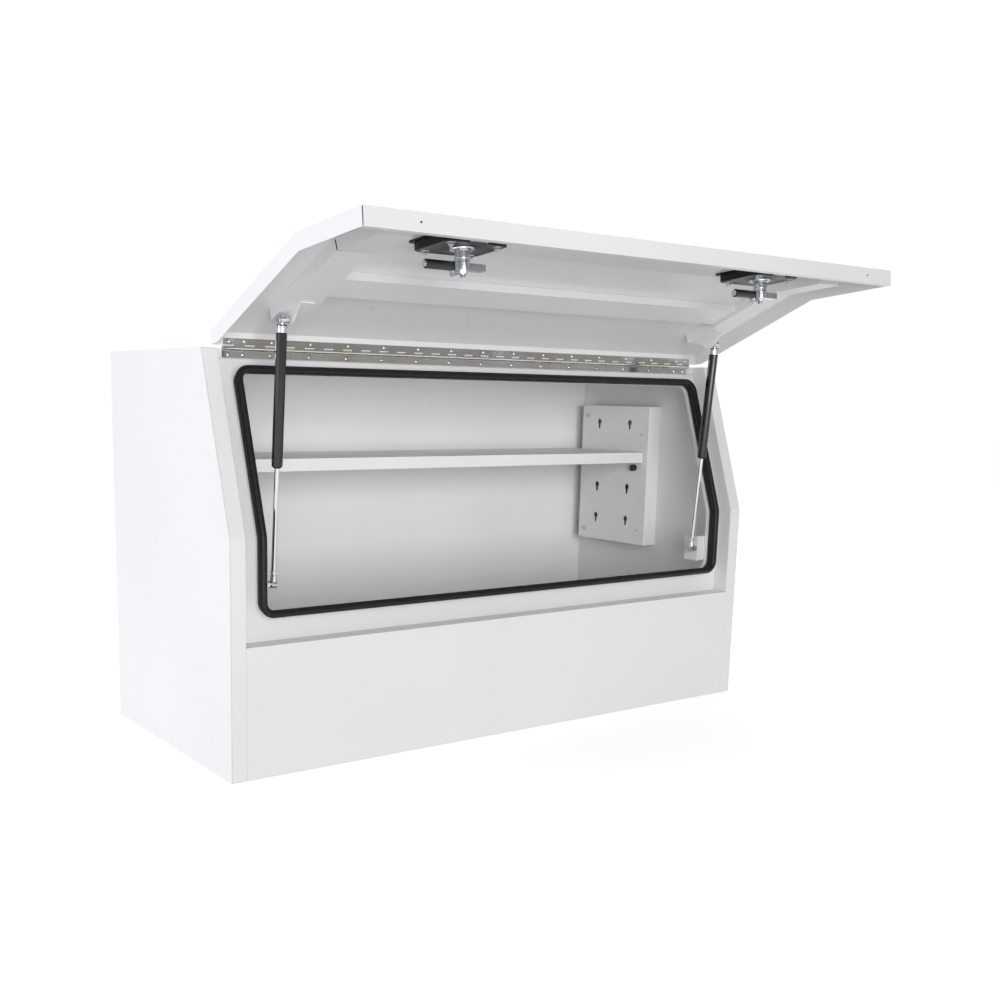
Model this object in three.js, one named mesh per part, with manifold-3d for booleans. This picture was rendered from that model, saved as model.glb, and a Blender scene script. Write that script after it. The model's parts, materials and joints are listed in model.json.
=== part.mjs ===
// Half-open truck tool box: a welded sheet-steel body with a sloped upper front,
// a cranked lift-up door on a long piano hinge, two gas struts, two folding
// T-handle compression latches, a push-on door seal and one adjustable shelf.
// Millimetres. X runs along the box (left is -X), the front faces -Y, Z is up.
// The origin is the centre of the underside of the body.
import * as THREE from 'three';
import { mergeVertices } from 'three/addons/utils/BufferGeometryUtils.js';
import Module from 'manifold-3d';

const wasm = await Module();
wasm.setup();

// ---------------------------------------------------------------- dimensions
const LENGTH = 1200;          // overall length along X
const DEPTH = 500;            // overall depth along Y
const HEIGHT = 700;           // overall height
const TOP_DEPTH = 402;        // depth of the flat top
const KNEE_Z = 401;           // height where the front starts to slope back
const SHEET = 1.5;            // body and door sheet
const GAP = 0.3;              // clearance between pieces that touch
const FLANGE = 28;            // width of the front flange beside the door
const LEDGE_Z = 223;          // top of the lower front panel
const RECESS = 34;            // depth of the door recess
const LIP_TOP = 15;           // depth of the seal lip's edge behind the front
const OPEN_X = 536;           // half width of the seal line
const OPEN_S0 = -128;         // seal line below the knee, along the front
const OPEN_S1 = 283;          // seal line above the knee, along the front
const CORNER_R = 20;          // corner radius of the seal line
const SEAL_R = 6.3;           // radius of the hollow bulb
const HINGE_X = 549;          // half length of the piano hinge
const HINGE_SECTIONS = 20;    // knuckles over the whole hinge
const KNUCKLE_R = 4.25;
const HINGE_PIN_R = 1.9;
const LEAF = 1.2;             // hinge leaf thickness
const DOOR_X = 570;           // half width of the door
const DOOR_DEPTH = 27;        // depth of the door's folded edge
const DOOR_GAP = 1.7;         // gap between the door's lower edge and the ledge
const DOOR_OPEN = 95.5;        // degrees from shut to the rest position
const STRUT_X = 501;          // plane of each gas strut
const STRUT_TOP_S = 200;      // upper strut pivot on the shut door
const STRUT_TOP_W = 31;
const STRUT_LOW = [-208, 317];// lower strut pivot, Y and Z
const TUBE_R = 9;
const ROD_R = 4;
const SHELF_Z = 510;          // top face of the shelf
const LATCH_X = 333;          // latch centres left and right of the middle
const LATCH_S = -72;          // latch centre below the knee, along the door

// ---------------------------------------------------------------- derived
const YF = -DEPTH / 2;
const YB = DEPTH / 2;
const YT = YB - TOP_DEPTH;
const X1 = LENGTH / 2;
const SLOPE = Math.atan2(YT - YF, HEIGHT - KNEE_Z);
const SN = Math.sin(SLOPE);
const CS = Math.cos(SLOPE);
const SLANT = Math.hypot(YT - YF, HEIGHT - KNEE_Z);
const HEADER_Y = -121.5;        // upright face that carries the fixed hinge leaf
const PIN_Y = HEADER_Y - GAP - KNUCKLE_R;
const DOOR_TOP = HEIGHT - 0.6;
const PIN_Z = DOOR_TOP - SHEET - GAP - LEAF + KNUCKLE_R;
const OPEN = THREE.MathUtils.degToRad(DOOR_OPEN);
const LEDGE_S = LEDGE_Z - KNEE_Z;

// ---------------------------------------------------------------- helpers
const M4 = () => new THREE.Matrix4();
const clean = (g) => {
  const c = g.index ? g.clone() : g.clone();
  c.deleteAttribute('normal');
  c.deleteAttribute('uv');
  return mergeVertices(c, 1e-4);
};
const solid = (g) => {
  const c = clean(g);
  return new wasm.Manifold(new wasm.Mesh({
    numProp: 3,
    vertProperties: new Float32Array(c.attributes.position.array),
    triVerts: new Uint32Array(c.index.array),
  }));
};
const shell = (m) => {
  const mesh = m.getMesh();
  const g = new THREE.BufferGeometry();
  g.setAttribute('position', new THREE.BufferAttribute(new Float32Array(mesh.vertProperties), 3));
  g.setIndex(new THREE.BufferAttribute(new Uint32Array(mesh.triVerts), 1));
  return g;
};
const join = (...gs) => shell(gs.map(solid).reduce((a, b) => a.add(b)));
const cut = (g, ...gs) => shell(gs.map(solid).reduce((a, b) => a.subtract(b), solid(g)));
const meet = (a, b) => shell(solid(a).intersect(solid(b)));
const mirrorX = (g) => {
  const c = clean(g);
  const p = c.attributes.position;
  for (let i = 0; i < p.count; i++) p.setX(i, -p.getX(i));
  const ix = c.index.array;
  for (let i = 0; i < ix.length; i += 3) { const t = ix[i]; ix[i] = ix[i + 1]; ix[i + 1] = t; }
  return c;
};
const box = (x0, x1, y0, y1, z0, z1) => new THREE.BoxGeometry(x1 - x0, y1 - y0, z1 - z0)
  .translate((x0 + x1) / 2, (y0 + y1) / 2, (z0 + z1) / 2);
const poly = (pts) => new THREE.Shape(pts.map(([a, b]) => new THREE.Vector2(a, b)));
const extrude = (shape, depth, segs = 4) =>
  new THREE.ExtrudeGeometry(shape, { depth, bevelEnabled: false, curveSegments: segs });
// a (y, z) outline carried along X
const alongX = (pts, x0, x1) => extrude(poly(pts), x1 - x0)
  .applyMatrix4(M4().makeBasis(new THREE.Vector3(0, 1, 0), new THREE.Vector3(0, 0, 1), new THREE.Vector3(1, 0, 0)))
  .translate(x0, 0, 0);
// an (x, y) outline carried up Z
const alongZ = (shape, z0, z1) => extrude(shape, z1 - z0).translate(0, 0, z0);
// an (x, s) outline carried from depth w0 to w1 behind the front face
const facing = (shape, w0, w1, segs = 4) => extrude(shape, w1 - w0, segs)
  .applyMatrix4(M4().makeBasis(new THREE.Vector3(1, 0, 0), new THREE.Vector3(0, 0, 1), new THREE.Vector3(0, -1, 0)))
  .translate(0, w1, 0);
const rod = (p, q, r, n = 16) => {
  const a = new THREE.Vector3(...p);
  const b = new THREE.Vector3(...q);
  const d = b.clone().sub(a);
  const m = M4().makeRotationFromQuaternion(new THREE.Quaternion()
    .setFromUnitVectors(new THREE.Vector3(0, 1, 0), d.clone().normalize()));
  return new THREE.CylinderGeometry(r, r, d.length(), n).applyMatrix4(m)
    .translate((a.x + b.x) / 2, (a.y + b.y) / 2, (a.z + b.z) / 2);
};
// The front is a plane up to the knee and a second, sloped plane above it.
// Flat coordinates are x, w (depth behind the front) and s (distance along
// the front from the knee, negative below it).
const LOWER = M4().makeTranslation(0, YF, KNEE_Z);
const UPPER = M4().makeRotationX(-SLOPE).premultiply(M4().makeTranslation(0, YF, KNEE_Z));
const onLower = (g) => g.clone().applyMatrix4(LOWER);
const onUpper = (g) => g.clone().applyMatrix4(UPPER);
const bend = (x, w, s) => (s <= 0
  ? new THREE.Vector3(x, YF + w, KNEE_Z + (s === 0 ? -w * Math.tan(SLOPE / 2) : s))
  : new THREE.Vector3(x, YF + s * SN + w * CS, KNEE_Z + s * CS - w * SN));
// carry a piece drawn in flat coordinates onto the cranked front, splitting
// its faces along the knee so that they mitre there
const folded = (g) => {
  const c = clean(g);
  const P = c.attributes.position;
  const v = [];
  for (let i = 0; i < P.count; i++) {
    const q = P.getZ(i);
    v.push([P.getX(i), P.getY(i), Math.abs(q) < 1e-4 ? 0 : q]);
  }
  const made = new Map();
  const crossing = (i, j) => {
    const key = i < j ? `${i}_${j}` : `${j}_${i}`;
    if (!made.has(key)) {
      const [p, q] = i < j ? [v[i], v[j]] : [v[j], v[i]];
      const t = p[2] / (p[2] - q[2]);
      made.set(key, v.length);
      v.push([p[0] + (q[0] - p[0]) * t, p[1] + (q[1] - p[1]) * t, 0]);
    }
    return made.get(key);
  };
  const out = [];
  const fan = (loop) => { for (let i = 1; i + 1 < loop.length; i++) out.push(loop[0], loop[i], loop[i + 1]); };
  const ix = c.index.array;
  for (let i = 0; i < ix.length; i += 3) {
    const tri = [ix[i], ix[i + 1], ix[i + 2]];
    if (tri.every((k) => v[k][2] <= 0) || tri.every((k) => v[k][2] >= 0)) { out.push(...tri); continue; }
    const low = [], high = [];
    for (let k = 0; k < 3; k++) {
      const p = tri[k], q = tri[(k + 1) % 3];
      if (v[p][2] <= 0) low.push(p);
      if (v[p][2] >= 0) high.push(p);
      if (v[p][2] * v[q][2] < 0) { const m = crossing(p, q); low.push(m); high.push(m); }
    }
    fan(low);
    fan(high);
  }
  const pos = new Float32Array(v.length * 3);
  v.forEach(([x, w, q], i) => { const b = bend(x, w, q); pos.set([b.x, b.y, b.z], i * 3); });
  const geo = new THREE.BufferGeometry();
  geo.setAttribute('position', new THREE.BufferAttribute(pos, 3));
  geo.setIndex(out);
  return geo;
};
const roundRect = (x, s0, s1, r, hole) => {
  const c = new (hole ? THREE.Path : THREE.Shape)();
  c.moveTo(-x + r, s0);
  c.lineTo(x - r, s0);
  c.absarc(x - r, s0 + r, r, -Math.PI / 2, 0, false);
  c.lineTo(x, s1 - r);
  c.absarc(x - r, s1 - r, r, 0, Math.PI / 2, false);
  c.lineTo(-x + r, s1);
  c.absarc(-x + r, s1 - r, r, Math.PI / 2, Math.PI, false);
  c.lineTo(-x, s0 + r);
  c.absarc(-x + r, s0 + r, r, Math.PI, Math.PI * 1.5, false);
  return c;
};

// ---------------------------------------------------------------- finishes
const paint = () => new THREE.MeshStandardMaterial({ color: 0xe9eaec, roughness: 0.42, metalness: 0 });
const rubber = () => new THREE.MeshStandardMaterial({ color: 0x0b0b0c, roughness: 0.6, metalness: 0 });
const gloss = () => new THREE.MeshStandardMaterial({ color: 0x0a0a0b, roughness: 0.25, metalness: 0 });
const stainless = () => new THREE.MeshStandardMaterial({ color: 0xc9c4bb, roughness: 0.22, metalness: 1 });
const chrome = () => new THREE.MeshStandardMaterial({ color: 0xd6d8da, roughness: 0.12, metalness: 1 });
const zinc = () => new THREE.MeshStandardMaterial({ color: 0xbfc3c8, roughness: 0.35, metalness: 1 });

const group = new THREE.Group();
const door = new THREE.Group();
door.position.set(0, PIN_Y, PIN_Z);
door.rotation.x = -OPEN;
group.add(door);
const put = (parent, name, geometry, material) => {
  const g = clean(geometry);
  if (parent === door) g.translate(0, -PIN_Y, -PIN_Z);
  const mesh = new THREE.Mesh(g, material);
  mesh.name = name;
  parent.add(mesh);
  return mesh;
};

// ---------------------------------------------------------------- body
const IN = X1 - SHEET - GAP;  // half width of everything between the side panels
const side = alongX([[YB, 0], [YB, HEIGHT], [YT, HEIGHT], [YF, KNEE_Z], [YF, 0]], X1 - SHEET, X1);
put(group, 'right_side_panel', side, paint());
put(group, 'left_side_panel', mirrorX(side), paint());
put(group, 'back_panel', box(-IN, IN, YB - SHEET, YB, 0, HEIGHT - SHEET - GAP), paint());
put(group, 'floor_panel', box(-IN, IN, YF + SHEET + GAP, YB - SHEET - GAP, 0, SHEET), paint());

// top sheet: two tabs reach forward over the flanges, the front edge folds
// down as the header that carries the fixed hinge leaf
const JX = X1 - FLANGE;
put(group, 'top_panel', join(
  alongZ(poly([[-IN, YT], [-JX - GAP, YT], [-JX - GAP, HEADER_Y], [JX + GAP, HEADER_Y], [JX + GAP, YT],
    [IN, YT], [IN, YB], [-IN, YB]]), HEIGHT - SHEET, HEIGHT),
  box(-JX + GAP, JX - GAP, HEADER_Y, HEADER_Y + SHEET, 684.6, HEIGHT - 0.5),
), paint());

// lower front panel with the ledge under the door
put(group, 'front_panel', join(
  box(-JX + GAP, JX - GAP, YF, YF + SHEET, 0, LEDGE_Z),
  box(-JX + GAP, JX - GAP, YF + 0.5, YF + RECESS + SHEET, LEDGE_Z - SHEET, LEDGE_Z),
), paint());

// jamb: full-height front flange beside the door and the lower panel, with the
// recess wall behind it where the door closes
const capZ = HEIGHT - SHEET - GAP;
const jamb = cut(folded(join(
  box(JX, IN, 0, SHEET, -KNEE_Z, SLANT + 40),
  box(JX, JX + SHEET, 0.4, RECESS + SHEET, LEDGE_S + GAP, SLANT + 40),
)), box(0, 700, -400, 400, capZ, 900));
put(group, 'jamb_right', jamb, paint());
put(group, 'jamb_left', mirrorX(jamb), paint());

// recessed frame round the opening with its upstanding seal lip
const ringTop = ((HEADER_Y - YF) * SN + (683.9 - KNEE_Z) * CS);
const ring = (() => {
  const o = poly([[-JX + GAP, LEDGE_S + GAP], [JX - GAP, LEDGE_S + GAP], [JX - GAP, ringTop], [-JX + GAP, ringTop]]);
  const h = SHEET / 2;
  o.holes.push(roundRect(OPEN_X, OPEN_S0, OPEN_S1, CORNER_R, true));
  const l = roundRect(OPEN_X + h, OPEN_S0 - h, OPEN_S1 + h, CORNER_R + h, false);
  l.holes.push(roundRect(OPEN_X - h, OPEN_S0 + h, OPEN_S1 - h, CORNER_R - h, true));
  return folded(join(facing(o, RECESS, RECESS + SHEET, 4), facing(l, LIP_TOP, RECESS + 0.8, 4)));
})();
put(group, 'opening_frame', ring, paint());

// push-on seal: a bulb in front of the lip and a channel gripping it
const seal = (() => {
  const path = [];
  const r = CORNER_R;
  const arc = (cx, cs, a0, n = 5) => {
    for (let i = 0; i <= n; i++) {
      const a = a0 + (Math.PI / 2) * (i / n);
      path.push([cx + r * Math.cos(a), cs + r * Math.sin(a), Math.cos(a), Math.sin(a)]);
    }
  };
  arc(OPEN_X - r, OPEN_S0 + r, -Math.PI / 2);
  path.push([OPEN_X, 0, 1, 0]);
  arc(OPEN_X - r, OPEN_S1 - r, 0);
  arc(-OPEN_X + r, OPEN_S1 - r, Math.PI / 2);
  path.push([-OPEN_X, 0, -1, 0]);
  arc(-OPEN_X + r, OPEN_S0 + r, Math.PI);
  const c = 2 + SEAL_R;                       // bulb centre depth
  const slot = SHEET / 2 + GAP;
  const pts = [];
  const a0 = Math.acos((LIP_TOP - 1.2 - c) / SEAL_R);
  for (let i = 0; i <= 10; i++) {
    const a = a0 + (2 * Math.PI - 2 * a0) * (i / 10);
    pts.push([SEAL_R * Math.sin(a), c + SEAL_R * Math.cos(a)]);
  }
  // pts runs from the outer side of the bulb's root round its front to the inner side
  const g = 3.4;                              // half width of the gripping channel
  pts.push([-g, LIP_TOP - 1.0], [-g, LIP_TOP + 9], [-slot, LIP_TOP + 9], [-slot, LIP_TOP - GAP],
    [slot, LIP_TOP - GAP], [slot, LIP_TOP + 9], [g, LIP_TOP + 9], [g, LIP_TOP - 1.0]);
  const n = pts.length;
  const pos = [];
  for (const [x, s, nx, ns] of path) {
    for (const [o, w] of pts) {
      const v = bend(x + nx * o, w, s + ns * o);
      pos.push(v.x, v.y, v.z);
    }
  }
  const idx = [];
  const m = path.length;
  for (let i = 0; i < m; i++) {
    const j = (i + 1) % m;
    for (let k = 0; k < n; k++) {
      const l = (k + 1) % n;
      idx.push(i * n + k, i * n + l, j * n + k, j * n + k, i * n + l, j * n + l);
    }
  }
  const geo = new THREE.BufferGeometry();
  geo.setAttribute('position', new THREE.Float32BufferAttribute(pos, 3));
  geo.setIndex(idx);
  // make the faces point outwards
  let vol = 0;
  const a = new THREE.Vector3(), b = new THREE.Vector3(), d = new THREE.Vector3();
  const P = geo.attributes.position;
  for (let i = 0; i < idx.length; i += 3) {
    a.fromBufferAttribute(P, idx[i]); b.fromBufferAttribute(P, idx[i + 1]); d.fromBufferAttribute(P, idx[i + 2]);
    vol += a.dot(b.cross(d));
  }
  if (vol < 0) for (let i = 0; i < idx.length; i += 3) { const t = idx[i]; idx[i] = idx[i + 1]; idx[i + 1] = t; }
  geo.setIndex(idx);
  return geo;
})();
put(group, 'opening_seal', seal, rubber());

// ---------------------------------------------------------------- hinge
const PITCH = (2 * HINGE_X) / HINGE_SECTIONS;
// one knuckle rolled from its leaf; turn = 0 for a leaf hanging down behind
// the pin, turn = 1 for a leaf running forward under the pin
const knuckle = (x0, x1, turn) => {
  const R = KNUCKLE_R;
  const pts = [[R, -6], [R, 0]];
  const end = Math.PI * 2 - Math.acos((R - LEAF) / R);
  for (let i = 1; i <= 8; i++) pts.push([R * Math.cos(end * i / 8), R * Math.sin(end * i / 8)]);
  pts.push([R - LEAF, -6]);
  const r = (HINGE_PIN_R + 0.3) / Math.cos(Math.PI / 6);
  const hole = [];
  for (let i = 0; i < 6; i++) hole.push([r * Math.cos(i * Math.PI / 3), -r * Math.sin(i * Math.PI / 3)]);
  const s = poly(pts);
  s.holes.push(new THREE.Path(hole.map(([u, v]) => new THREE.Vector2(u, v))));
  let g = extrude(s, x1 - x0)
    .applyMatrix4(M4().makeBasis(new THREE.Vector3(0, 1, 0), new THREE.Vector3(0, 0, 1), new THREE.Vector3(1, 0, 0)));
  if (turn) g = g.applyMatrix4(M4().makeRotationX(-Math.PI / 2));
  return g.translate(x0, PIN_Y, PIN_Z);
};
const knuckles = (first) => {
  const out = [];
  for (let i = first; i < HINGE_SECTIONS; i += 2) {
    out.push([-HINGE_X + i * PITCH + 0.15, -HINGE_X + (i + 1) * PITCH - 0.15]);
  }
  return out;
};
const bodyLeaf = join(
  box(-HINGE_X, HINGE_X, HEADER_Y - GAP - LEAF, HEADER_Y - GAP, 685.4, PIN_Z - KNUCKLE_R - 0.6),
  ...knuckles(0).map(([a, b]) => knuckle(a, b, 0)),
);
put(group, 'hinge_body_leaf', bodyLeaf, stainless());
put(group, 'hinge_pin', rod([-HINGE_X - 0.4, PIN_Y, PIN_Z], [HINGE_X + 0.4, PIN_Y, PIN_Z], HINGE_PIN_R, 8), stainless());
const doorLeaf = join(
  box(-HINGE_X, HINGE_X, PIN_Y - 15.6, PIN_Y - KNUCKLE_R - 0.6, PIN_Z - KNUCKLE_R, PIN_Z - KNUCKLE_R + LEAF),
  ...knuckles(1).map(([a, b]) => knuckle(a, b, 1)),
);
put(door, 'hinge_door_leaf', doorLeaf, stainless());

// ---------------------------------------------------------------- door
const DB = LEDGE_S + DOOR_GAP;                // lower edge of the door, along the front
const tipY = PIN_Y - KNUCKLE_R - 0.4;         // inner edge of the door's top fold
const doorShell = (() => {
  // folded skin, side edges, lower edge and top fold, cut from a cranked pan
  const skin = folded(box(-DOOR_X, DOOR_X, 0, SHEET, DB, SLANT + 60));
  const lower = onLower(box(-DOOR_X, DOOR_X, 0, DOOR_DEPTH, DB, DB + SHEET));
  const lowerReturn = onLower(box(-DOOR_X, DOOR_X, DOOR_DEPTH - SHEET, DOOR_DEPTH, DB, DB + 12));
  const edge = folded(box(DOOR_X - SHEET, DOOR_X, 0, DOOR_DEPTH, DB, SLANT + 60));
  const top = box(-DOOR_X, DOOR_X, YT - 30, tipY, DOOR_TOP - SHEET, DOOR_TOP);
  const trimTop = box(-700, 700, -400, 400, DOOR_TOP, 1200);
  const trimBack = box(-700, 700, tipY, 300, 600, 1200);
  const outline = folded(box(-DOOR_X, DOOR_X, 0, 200, DB, SLANT + 60));
  return cut(join(skin, lower, lowerReturn, edge, mirrorX(edge), meet(top, outline)), trimTop, trimBack);
})();
const panHole = (x) => onLower(facing((() => {
  const c = new THREE.Shape();
  c.absarc(x, LATCH_S, 46, 0, Math.PI * 2, false);
  return c;
})(), -2, 4, 12));
put(door, 'door_shell', cut(doorShell, panHole(LATCH_X), panHole(-LATCH_X)), paint());

// hat-section stiffeners: two cranked uprights and one rail between them
const HAT_T = 1.2;
const hat = (x0, x1, s0, s1, w, foot) => join(
  box(x0, x1, w - HAT_T, w, s0, s1),
  box(x0, x0 + HAT_T, SHEET + GAP, w, s0, s1),
  box(x1 - HAT_T, x1, SHEET + GAP, w, s0, s1),
  box(x0 + 0.4, x1 - 0.4, SHEET + GAP + 0.4, w - 0.4, s0, s0 + HAT_T),
);
const BRACE = [450, 506];
const BRACE_W = 21;
const brace = folded(hat(BRACE[0], BRACE[1], -112, 224, BRACE_W));
put(door, 'door_brace_right', brace, paint());
put(door, 'door_brace_left', mirrorX(brace), paint());
const railX = BRACE[0] - GAP;
put(door, 'door_mid_rail', onUpper(join(
  box(-railX, railX, 16 - HAT_T, 16, 90, 147),
  box(-railX, railX, SHEET + GAP, 16, 90, 90 + HAT_T),
  box(-railX, railX, SHEET + GAP, 16, 147 - HAT_T, 147),
)), paint());

// ---------------------------------------------------------------- gas struts
const shut = (s, w) => bend(0, w, s);
const topShut = shut(STRUT_TOP_S, STRUT_TOP_W);
const swing = (v) => {
  const y = v.y - PIN_Y, z = v.z - PIN_Z;
  return new THREE.Vector3(v.x, PIN_Y + y * Math.cos(OPEN) + z * Math.sin(OPEN),
    PIN_Z - y * Math.sin(OPEN) + z * Math.cos(OPEN));
};
const topOpen = swing(topShut);
const EYE_R = 7;
// upper bracket: foot on the upright, plate standing off it, pivot stud
const upperBracket = onUpper(join(
  alongX([[BRACE_W + GAP, 158], [BRACE_W + GAP, 222], [STRUT_TOP_W + 3, 213], [STRUT_TOP_W + 9, 203], [STRUT_TOP_W + 8, 191]], 486, 488),
  box(462, 488, BRACE_W + GAP, BRACE_W + GAP + 2, 158, 222),
));
put(door, 'strut_bracket_upper_right', upperBracket, paint());
put(door, 'strut_bracket_upper_left', mirrorX(upperBracket), paint());
const upperStud = (() => {
  const at = (x) => [x, topShut.y, topShut.z];
  return join(rod(at(488.3), at(507), 4, 10), rod(at(506), at(508.5), 6.2, 6), rod(at(488.3), at(496.1), 5.6, 10));
})();
put(door, 'strut_stud_upper_right', upperStud, zinc());
put(door, 'strut_stud_upper_left', mirrorX(upperStud), zinc());

const lowP = [STRUT_X, ...STRUT_LOW];
const topP = [STRUT_X, topOpen.y, topOpen.z];
const axis = new THREE.Vector3(0, lowP[1] - topP[1], lowP[2] - topP[2]);
const REACH = axis.length();                  // pivot to pivot, extended
axis.normalize();
const at = (d, x = STRUT_X) => [x, topP[1] + axis.y * d, topP[2] + axis.z * d];
const turned = (pts, n) => new THREE.LatheGeometry(pts.map(([r, d]) => new THREE.Vector2(r, d)), n)
  .applyMatrix4(M4().makeRotationFromQuaternion(new THREE.Quaternion().setFromUnitVectors(new THREE.Vector3(0, 1, 0), axis)))
  .translate(topP[0], topP[1], topP[2]);
const TUBE0 = 21, TUBE1 = 234;
const tubeEnd = cut(join(
  rod([STRUT_X - 4.5, topP[1], topP[2]], [STRUT_X + 4.5, topP[1], topP[2]], EYE_R, 16),
  rod(at(0), at(14), 4.4, 12), rod(at(9.5), at(TUBE0 - GAP), 7.6, 14),
), rod([STRUT_X - 12, topP[1], topP[2]], [STRUT_X + 12, topP[1], topP[2]], 4.45, 12));
put(group, 'strut_tube_end_right', tubeEnd, zinc());
put(group, 'strut_tube_end_left', mirrorX(tubeEnd), zinc());
const tube = turned([[0, TUBE0], [TUBE_R - 1, TUBE0], [TUBE_R, TUBE0 + 1], [TUBE_R, TUBE1 - 1.5], [TUBE_R - 1.5, TUBE1], [ROD_R + 0.4, TUBE1], [ROD_R + 0.4, TUBE0 + 4], [0, TUBE0 + 4]].reverse(), 16);
const orient = (g) => {
  const c = clean(g);
  const P = c.attributes.position, ix = c.index.array;
  let vol = 0;
  const a = new THREE.Vector3(), b = new THREE.Vector3(), d = new THREE.Vector3();
  for (let i = 0; i < ix.length; i += 3) {
    a.fromBufferAttribute(P, ix[i]); b.fromBufferAttribute(P, ix[i + 1]); d.fromBufferAttribute(P, ix[i + 2]);
    vol += a.dot(b.cross(d));
  }
  if (vol < 0) for (let i = 0; i < ix.length; i += 3) { const t = ix[i]; ix[i] = ix[i + 1]; ix[i + 1] = t; }
  return c;
};
put(group, 'strut_tube_right', orient(tube), gloss());
put(group, 'strut_tube_left', mirrorX(orient(tube)), gloss());
const ROD0 = TUBE1 - 26, ROD1 = REACH - 15;
const piston = rod(at(ROD0), at(ROD1), ROD_R, 12);
put(group, 'strut_rod_right', piston, chrome());
put(group, 'strut_rod_left', mirrorX(piston), chrome());
const rodEnd = join(
  rod([STRUT_X - 4.5, lowP[1], lowP[2]], [STRUT_X + 4.5, lowP[1], lowP[2]], 6.8, 16),
  rod(at(ROD1 + GAP), at(REACH - 4), 5.2, 14),
);
put(group, 'strut_rod_end_right', rodEnd, zinc());
put(group, 'strut_rod_end_left', mirrorX(rodEnd), zinc());
// lower bracket: foot against the back of the frame, plate with a short stud
const by = YF + RECESS + SHEET + GAP;
const lowerBracket = join(
  box(514, 516, by, by + 36, STRUT_LOW[1] - 26, STRUT_LOW[1] + 26),
  box(514, 562, by, by + 2, STRUT_LOW[1] - 26, STRUT_LOW[1] + 26),
);
put(group, 'strut_bracket_lower_right', lowerBracket, paint());
put(group, 'strut_bracket_lower_left', mirrorX(lowerBracket), paint());
const lowerStud = join(rod([506, lowP[1], lowP[2]], [513.7, lowP[1], lowP[2]], 4, 16), rod([509.5, lowP[1], lowP[2]], [513.7, lowP[1], lowP[2]], 6.4, 6));
put(group, 'strut_stud_lower_right', lowerStud, zinc());
put(group, 'strut_stud_lower_left', mirrorX(lowerStud), zinc());

// ---------------------------------------------------------------- shelf
const BX = 560;                               // inner face of each shelf bracket
const ROWS = [354, 428, 502, 576];
const COLS = [52, 152];
const keyhole = (y, z) => {
  const s = new THREE.Shape();
  const r = 7.2, q = 3.6, drop = 12.5;
  const a = Math.asin(q / r);
  s.moveTo(y + q, z - drop);
  s.lineTo(y + q, z - r * Math.cos(a));
  s.absarc(y, z, r, -Math.PI / 2 + a, Math.PI * 1.5 - a, false);
  s.lineTo(y - q, z - drop);
  s.absarc(y, z - drop, q, Math.PI, Math.PI * 2, false);
  return extrude(s, 30, 3)
    .applyMatrix4(M4().makeBasis(new THREE.Vector3(0, 1, 0), new THREE.Vector3(0, 0, 1), new THREE.Vector3(1, 0, 0)))
    .translate(BX - 10, 0, 0);
};
const bracket = (() => {
  const y0 = -9, y1 = 209, z0 = 297, z1 = 613, wall = X1 - SHEET - GAP;
  const b = join(box(BX, BX + SHEET, y0, y1, z0, z1),
    box(BX, wall, y0, y0 + SHEET, z0, z1), box(BX, wall, y1 - SHEET, y1, z0, z1));
  const holes = [];
  for (const z of ROWS) for (const y of COLS) holes.push(keyhole(y, z));
  for (const z of [330, 404, 550]) holes.push(rod([BX - 5, 14, z], [BX + 5, 14, z], 2.4, 10));
  holes.push(rod([BX - 5, 29, 474], [BX + 5, 29, 474], 3.4, 12));
  return cut(b, ...holes);
})();
put(group, 'shelf_bracket_right', bracket, paint());
put(group, 'shelf_bracket_left', mirrorX(bracket), paint());
const SX = BX - 3;
const studAt = (y, z) => [y, z];
const STUDS = [[COLS[0], ROWS[2] - 9], [COLS[1], ROWS[2] - 9]];
const shelf = cut(box(-SX, SX, 2, 242, SHELF_Z - 23, SHELF_Z),
  box(-SX + SHEET, SX - SHEET, 2 + SHEET, 242 - SHEET, SHELF_Z - 23 + SHEET, SHELF_Z - SHEET),
  box(-SX + SHEET, SX - SHEET, 14, 242 - SHEET, SHELF_Z - 30, SHELF_Z - 20),
  ...STUDS.flatMap(([y, z]) => [rod([SX - 5, y, z], [SX + 5, y, z], 2.7, 12), rod([-SX - 5, y, z], [-SX + 5, y, z], 2.7, 12)]));
put(group, 'shelf', shelf, paint());
// shoulder studs hang the shelf in the keyholes
const NAMES = ['front', 'rear'];
STUDS.forEach(([y, z], i) => {
  const st = join(rod([SX - 6, y, z], [BX + 6, y, z], 2.35, 12),
    rod([SX - 5.5, y, z], [SX - SHEET - GAP, y, z], 5, 6), rod([BX + SHEET + GAP, y, z], [BX + SHEET + 3.5, y, z], 4.2, 14));
  put(group, `shelf_stud_${NAMES[i]}_right`, st, gloss());
  put(group, `shelf_stud_${NAMES[i]}_left`, mirrorX(st), gloss());
});
const knob = join(rod([BX - 9, 29, 474], [BX - GAP, 29, 474], 7.5, 14), rod([BX - 2, 29, 474], [BX + 8, 29, 474], 3, 12));
put(group, 'shelf_knob_right', knob, gloss());
put(group, 'shelf_knob_left', mirrorX(knob), gloss());

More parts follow.
